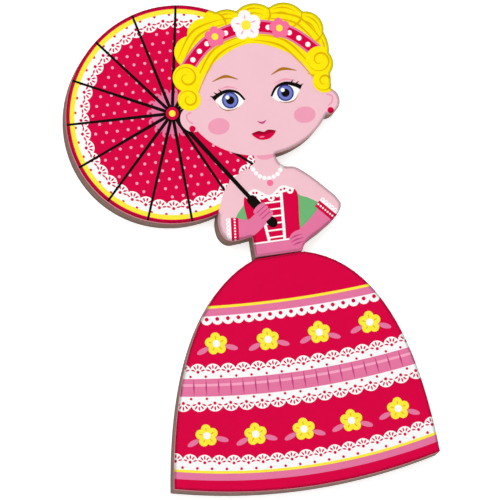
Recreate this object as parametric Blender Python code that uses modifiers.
"""A two-piece magnetic dress-up doll: a bust with a parasol, and a skirt that butts against its waist.

Each piece is a fibreboard shape with a printed paper face and three disc magnets let into its back.
The shapes are drawn in a picture plane, in metres: x to the right, y up from the waist edge and z from
the back to the face. Each piece hangs on an empty that stands this plane upright, so that the picture's
y becomes the world's Z and its face looks along the world's -Y. The world's origin is the middle of the
chest magnet's bare face, where the doll meets the steel surface that it is used on.
"""

import math

import bmesh
import bpy
from mathutils import Matrix, Vector

# Board, print and magnets
BOARD_THICKNESS = 0.0050
PRINT_THICKNESS = 0.00025
GLUE_LINE = 0.00005
MAGNET_DIAMETER = 0.0080
MAGNET_THICKNESS = 0.0020
MAGNET_CHAMFER = 0.0003
POCKET_CLEARANCE = 0.0003

# Parasol: an oval, drawn a little from the side, whose long axis rises to the right
PARASOL_CENTRE = Vector((-0.0154, 0.0294))
PARASOL_HALF_LENGTH = 0.0216
PARASOL_HALF_WIDTH = 0.0205
PARASOL_TURN = math.radians(42)

# Head: an oval face, curls of hair round its upper edge, and the ear that shows at its right
FACE_CENTRE = Vector((0.0009, 0.0314))
FACE_HALF_WIDTH = 0.0143
FACE_HALF_HEIGHT = 0.0122
EAR_RADIUS = 0.00255
EAR_INSET = 0.0013
EAR_DROP = 0.0034
# The curls' ends, from the right ear round to the left: degrees round the face's centre, the height above
# the face's edge, and how far the curl that starts there bulges, as a share of its chord
CURL_ENDS = (
    (-5, 0.0000, 0.02),
    (7, 0.0004, 0.18),
    (21, 0.0021, 0.08),
    (34, 0.0041, 0.26),
    (52, 0.0054, 0.21),
    (73, 0.0044, 0.19),
    (95, 0.0040, 0.20),
    (116, 0.0041, 0.30),
    (136, 0.0030, 0.20),
    (150, 0.0031, 0.10),
    (163, 0.0013, 0.06),
    (183, 0.0000, 0.00),
)

# Neck, arms and waist
NECK_HALF_WIDTH = 0.0021
NECK_SHIFT = 0.0005
NECK_OVERLAP = 0.0020
WAIST_HALF_WIDTH = 0.0045
NECK_FOOT = 0.0178
# Outer edges of the arms, from the shoulder down to the waist
RIGHT_ARM = (
    (0.0038, 0.0166),
    (0.0056, 0.0162),
    (0.0072, 0.0151),
    (0.0110, 0.0113),
    (0.0130, 0.0088),
    (0.0133, 0.0078),
    (0.0123, 0.0060),
    (0.0097, 0.0041),
    (0.0051, 0.0011),
)
LEFT_ARM = (
    (-0.0028, 0.0168),
    (-0.0060, 0.0157),
    (-0.0083, 0.0134),
    (-0.0103, 0.0091),
    (-0.0106, 0.0070),
    (-0.0101, 0.0049),
    (-0.0089, 0.0038),
    (-0.0073, 0.0037),
)
LEFT_ARM_FOOT = 0.0040
CHEST_MAGNET_HEIGHT = 0.0090

# Skirt: it was laid by hand, so its waist stands a little further off at the left
WAIST_GAP_LEFT = 0.0004
WAIST_GAP_RIGHT = 0.0002
WAIST_STEP = 0.0003
SKIRT_HEIGHT = 0.0418
HEM_HALF_WIDTH = 0.0258
HEM_DROP = 0.0031
HEM_SHIFT = -0.0015
# The handles of its two flanks, which aren't quite alike: from the waist's ends and from the hem's
RIGHT_HIP_PULL = Vector((0.0172, -0.0043))
RIGHT_HEM_PULL = Vector((-0.0004, 0.0125))
LEFT_HIP_PULL = Vector((-0.0150, -0.0052))
LEFT_HEM_PULL = Vector((0.0021, 0.0140))
UPPER_MAGNET_DEPTH = 0.0110
LOWER_MAGNET_DEPTH = 0.0315
LOWER_MAGNET_SPREAD = 0.0140

# Smoothness of the outlines
DISC_STEPS = 96
EAR_STEPS = 32
MAGNET_STEPS = 48
CURL_STEPS = 7
OUTLINE_STEPS = 8
SKIRT_STEPS = 24
WELD_DISTANCE = 1e-6
STRAIGHT_ANGLE = math.radians(0.05)
SHARP_ANGLE = math.radians(30)

# How much further each region of the bust stands out than the last before they are trimmed to one thickness
REGION_STAGGER = 0.0010
TRIM_SIZE = 0.2

# Colours, roughness and metallic share of the finishes
FIBREBOARD = ((0.24, 0.16, 0.13), 0.9, 0.0)
PRINTED_FACE = ((0.68, 0.0, 0.06), 0.35, 0.0)
FERRITE = ((0.05, 0.05, 0.055), 0.5, 0.3)

POCKET_DEPTH = MAGNET_THICKNESS + POCKET_CLEARANCE
PRINT_BACK = BOARD_THICKNESS + GLUE_LINE


def clear_scene():
    for old in list(bpy.data.objects):
        bpy.data.objects.remove(old)


def make_collection(name):
    collection = bpy.data.collections.new(name)
    bpy.context.scene.collection.children.link(collection)
    return collection


def upright_frame(name):
    """An empty whose local picture plane stands upright, with its origin at the middle of the waist edge."""
    frame = bpy.data.objects.new(name, None)
    bpy.context.scene.collection.objects.link(frame)
    frame.rotation_euler = (math.radians(90), 0, 0)
    frame.location.z = -CHEST_MAGNET_HEIGHT
    return frame


def finish_object(piece, finish):
    """One Principled material of its own for a piece."""
    colour, roughness, metallic = finish
    material = bpy.data.materials.new(piece.name)
    material.use_nodes = True
    shader = material.node_tree.nodes["Principled BSDF"]
    shader.inputs["Base Color"].default_value = (*colour, 1)
    shader.inputs["Roughness"].default_value = roughness
    shader.inputs["Metallic"].default_value = metallic
    piece.data.materials.append(material)
    piece.data.shade_smooth()
    piece.data.set_sharp_from_angle(angle=SHARP_ANGLE)


def hide_as_cutter(cutter):
    cutter.hide_render = True
    cutter.display_type = "WIRE"


def disc(name, centre, half_size, span, steps, frame, collection, turn=0.0):
    """A round or oval plate between two heights, the two numbers of span, turned about its centre."""
    bottom, top = span
    mesh = bpy.data.meshes.new(name)
    shape = bmesh.new()
    bmesh.ops.create_cone(shape, cap_ends=True, segments=steps, radius1=1, radius2=1, depth=top - bottom)
    bmesh.ops.scale(shape, vec=(half_size[0], half_size[1], 1), verts=shape.verts)
    bmesh.ops.rotate(shape, matrix=Matrix.Rotation(turn, 3, "Z"), verts=shape.verts)
    bmesh.ops.translate(shape, vec=(centre[0], centre[1], (bottom + top) / 2), verts=shape.verts)
    shape.to_mesh(mesh)
    shape.free()
    piece = bpy.data.objects.new(name, mesh)
    piece.parent = frame
    collection.objects.link(piece)
    return piece


def plate(name, add_outline, span, frame, collection):
    """A plate between two heights whose outline is a flat curve, turned into a mesh."""
    bottom, top = span
    curve = bpy.data.curves.new(name + "_outline", "CURVE")
    curve.dimensions = "2D"
    curve.fill_mode = "BOTH"
    curve.extrude = (top - bottom) / 2
    add_outline(curve)
    drawn = bpy.data.objects.new(curve.name, curve)
    drawn.parent = frame
    drawn.location.z = (bottom + top) / 2
    collection.objects.link(drawn)
    bpy.context.view_layer.update()
    evaluated = drawn.evaluated_get(bpy.context.evaluated_depsgraph_get())
    mesh = bpy.data.meshes.new_from_object(evaluated)
    mesh.name = name
    shape = bmesh.new()
    shape.from_mesh(mesh)
    bmesh.ops.remove_doubles(shape, verts=shape.verts, dist=WELD_DISTANCE)
    bmesh.ops.dissolve_limit(shape, angle_limit=STRAIGHT_ANGLE, verts=shape.verts, edges=shape.edges)
    bmesh.ops.recalc_face_normals(shape, faces=shape.faces)
    shape.to_mesh(mesh)
    shape.free()
    piece = bpy.data.objects.new(name, mesh)
    piece.parent = frame
    piece.matrix_world = drawn.matrix_world
    collection.objects.link(piece)
    bpy.data.objects.remove(drawn)
    return piece


def combine(piece, other, operation):
    modifier = piece.modifiers.new(other.name, "BOOLEAN")
    modifier.operation = operation
    modifier.solver = "EXACT"
    modifier.object = other
    hide_as_cutter(other)


def add_polygon(curve, points):
    spline = curve.splines.new("POLY")
    spline.points.add(len(points) - 1)
    for knot, point in zip(spline.points, points):
        knot.co = (*point, 0, 1)
    spline.use_cyclic_u = True


def add_knots(curve, knots, steps):
    """A closed Bezier outline. Each knot is its place and either "smooth", "corner" or its two handles."""
    curve.resolution_u = steps
    spline = curve.splines.new("BEZIER")
    spline.bezier_points.add(len(knots) - 1)
    for knot, (place, kind) in zip(spline.bezier_points, knots):
        knot.co = (*place, 0)
        if kind == "smooth":
            knot.handle_left_type = knot.handle_right_type = "AUTO"
        elif kind == "corner":
            knot.handle_left_type = knot.handle_right_type = "VECTOR"
        else:
            knot.handle_left_type = knot.handle_right_type = "FREE"
            knot.handle_left = (*kind[0], 0)
            knot.handle_right = (*kind[1], 0)
    spline.use_cyclic_u = True


def face_radius(angle):
    """From the face's centre to its oval edge, in a direction."""
    return 1 / math.hypot(math.cos(angle) / FACE_HALF_WIDTH, math.sin(angle) / FACE_HALF_HEIGHT)


def curl_end(degrees, rise):
    """Where two curls meet, from an angle and a height above the face's edge."""
    angle = math.radians(degrees)
    reach = face_radius(angle) + rise
    return FACE_CENTRE + reach * Vector((math.cos(angle), math.sin(angle)))


def curl(start, end, bulge):
    """Points of one curl: an arc from start up to, but without, end. It bulges away from the head."""
    chord = end - start
    half = chord.length / 2
    rise = bulge * chord.length
    radius = (half**2 + rise**2) / (2 * rise)
    inward = Vector((-chord.y, chord.x)).normalized()
    centre = (start + end) / 2 + inward * (radius - rise)
    first = start - centre
    turn = 2 * math.asin(half / radius)
    for step in range(CURL_STEPS):
        angle = turn * step / CURL_STEPS
        cosine, sine = math.cos(angle), math.sin(angle)
        yield centre + Vector((first.x * cosine - first.y * sine, first.x * sine + first.y * cosine))


def hair_outline(curve):
    ends = [curl_end(degrees, rise) for degrees, rise, _ in CURL_ENDS]
    bulges = [bulge for _, _, bulge in CURL_ENDS]
    points = []
    for start, end, bulge in zip(ends, ends[1:], bulges):
        points.extend(curl(start, end, bulge))
    add_polygon(curve, points + ends[-1:])


def torso_outline(curve):
    """Neck, shoulders, both arms and the straight waist edge, clockwise from the top of the neck."""
    neck_top = FACE_CENTRE.y - FACE_HALF_HEIGHT + NECK_OVERLAP
    neck_left = NECK_SHIFT - NECK_HALF_WIDTH
    neck_right = NECK_SHIFT + NECK_HALF_WIDTH
    knots = [((neck_left, neck_top), "corner"), ((neck_right, neck_top), "corner")]
    knots += [((neck_right, NECK_FOOT), "smooth")]
    knots += [(place, "smooth") for place in RIGHT_ARM]
    knots += [((WAIST_HALF_WIDTH, 0), "corner"), ((-WAIST_HALF_WIDTH, 0), "corner")]
    knots += [((-WAIST_HALF_WIDTH, LEFT_ARM_FOOT), "corner")]
    knots += [(place, "smooth") for place in reversed(LEFT_ARM)]
    knots += [((neck_left, NECK_FOOT), "smooth")]
    add_knots(curve, knots, OUTLINE_STEPS)


def skirt_outline(curve):
    """A bell from the waist to a hem that is an even bow.

    A straight Bezier has its handles at its thirds. A bow stands out three quarters as far as its handles,
    so they go four thirds of the drop below the hem's ends.
    """
    half = WAIST_HALF_WIDTH + WAIST_STEP
    waist_right = Vector((half, -WAIST_GAP_RIGHT))
    waist_left = Vector((-half, -WAIST_GAP_LEFT))
    hem_right = Vector((HEM_SHIFT + HEM_HALF_WIDTH, -SKIRT_HEIGHT))
    hem_left = Vector((HEM_SHIFT - HEM_HALF_WIDTH, -SKIRT_HEIGHT))
    across = (hem_left - hem_right) / 3
    bow = Vector((0, -HEM_DROP * 4 / 3))
    along_waist = (waist_left - waist_right) / 3
    knots = [
        (waist_right, (waist_right + along_waist, waist_right + RIGHT_HIP_PULL)),
        (hem_right, (hem_right + RIGHT_HEM_PULL, hem_right + across + bow)),
        (hem_left, (hem_left - across + bow, hem_left + LEFT_HEM_PULL)),
        (waist_left, (waist_left + LEFT_HIP_PULL, waist_left - along_waist)),
    ]
    add_knots(curve, knots, SKIRT_STEPS)


def staggered(span, rank):
    """A span made longer at both ends, so that no two regions end in one plane."""
    bottom, top = span
    return bottom - rank * REGION_STAGGER, top + rank * REGION_STAGGER


def slab(name, span, frame, collection):
    """A square block between two heights, wider than the doll."""
    bottom, top = span
    mesh = bpy.data.meshes.new(name)
    shape = bmesh.new()
    bmesh.ops.create_cube(shape, size=1)
    bmesh.ops.scale(shape, vec=(TRIM_SIZE, TRIM_SIZE, top - bottom), verts=shape.verts)
    bmesh.ops.translate(shape, vec=(0, 0, (bottom + top) / 2), verts=shape.verts)
    shape.to_mesh(mesh)
    shape.free()
    block = bpy.data.objects.new(name, mesh)
    block.parent = frame
    collection.objects.link(block)
    return block


def bust_plate(name, span, frame, parts, cutters):
    """The bust's whole shape between two heights: neck and arms joined with parasol, hair, face and ear."""
    ear_centre = FACE_CENTRE + Vector((FACE_HALF_WIDTH - EAR_INSET, -EAR_DROP))
    rounds = (
        ("face", FACE_CENTRE, (FACE_HALF_WIDTH, FACE_HALF_HEIGHT), DISC_STEPS, 0.0),
        ("ear", ear_centre, (EAR_RADIUS, EAR_RADIUS), EAR_STEPS, 0.0),
        ("parasol", PARASOL_CENTRE, (PARASOL_HALF_LENGTH, PARASOL_HALF_WIDTH), DISC_STEPS, PARASOL_TURN),
    )
    piece = plate(name, torso_outline, staggered(span, 1), frame, parts)
    hair = plate(name + "_hair_region", hair_outline, staggered(span, 2), frame, cutters)
    combine(piece, hair, "UNION")
    for rank, (region, centre, half_size, steps, turn) in enumerate(rounds, start=3):
        region_name = f"{name}_{region}_region"
        blank = disc(region_name, centre, half_size, staggered(span, rank), steps, frame, cutters, turn)
        combine(piece, blank, "UNION")
    combine(piece, slab(name + "_trim", span, frame, cutters), "INTERSECT")
    return piece


def skirt_plate(name, span, frame, parts):
    return plate(name, skirt_outline, span, frame, parts)


def set_magnet(name, centre, board, frame, parts, cutters):
    """A disc magnet flush with the board's back, in a blind pocket with room for glue round and behind it."""
    radius = MAGNET_DIAMETER / 2
    hole = radius + POCKET_CLEARANCE
    below = -POCKET_DEPTH
    pocket = disc(name + "_pocket", centre, (hole, hole), (below, POCKET_DEPTH), MAGNET_STEPS, frame, cutters)
    combine(board, pocket, "DIFFERENCE")
    magnet = disc(name, centre, (radius, radius), (0, MAGNET_THICKNESS), MAGNET_STEPS, frame, parts)
    chamfer = magnet.modifiers.new("chamfer", "BEVEL")
    chamfer.width = MAGNET_CHAMFER
    chamfer.limit_method = "ANGLE"
    finish_object(magnet, FERRITE)


def make_bust(parts, cutters):
    frame = upright_frame("bust_frame")
    board = bust_plate("bust_board", (0, BOARD_THICKNESS), frame, parts, cutters)
    face = bust_plate("bust_print", (PRINT_BACK, PRINT_BACK + PRINT_THICKNESS), frame, parts, cutters)
    finish_object(board, FIBREBOARD)
    finish_object(face, PRINTED_FACE)
    set_magnet("bust_magnet_parasol", PARASOL_CENTRE, board, frame, parts, cutters)
    set_magnet("bust_magnet_head", FACE_CENTRE, board, frame, parts, cutters)
    set_magnet("bust_magnet_chest", (0, CHEST_MAGNET_HEIGHT), board, frame, parts, cutters)


def make_skirt(parts, cutters):
    """The skirt, on a frame of its own: it pulls straight off the steel, along the frame's z."""
    frame = upright_frame("skirt_frame")
    board = skirt_plate("skirt_board", (0, BOARD_THICKNESS), frame, parts)
    face = skirt_plate("skirt_print", (PRINT_BACK, PRINT_BACK + PRINT_THICKNESS), frame, parts)
    finish_object(board, FIBREBOARD)
    finish_object(face, PRINTED_FACE)
    low = -LOWER_MAGNET_DEPTH
    set_magnet("skirt_magnet_upper", (0, -UPPER_MAGNET_DEPTH), board, frame, parts, cutters)
    set_magnet("skirt_magnet_left", (-LOWER_MAGNET_SPREAD, low), board, frame, parts, cutters)
    set_magnet("skirt_magnet_right", (LOWER_MAGNET_SPREAD, low), board, frame, parts, cutters)


def main():
    clear_scene()
    parts = make_collection("magnetic_dress_up_doll")
    cutters = make_collection("cutters")
    make_bust(parts, cutters)
    make_skirt(parts, cutters)


main()
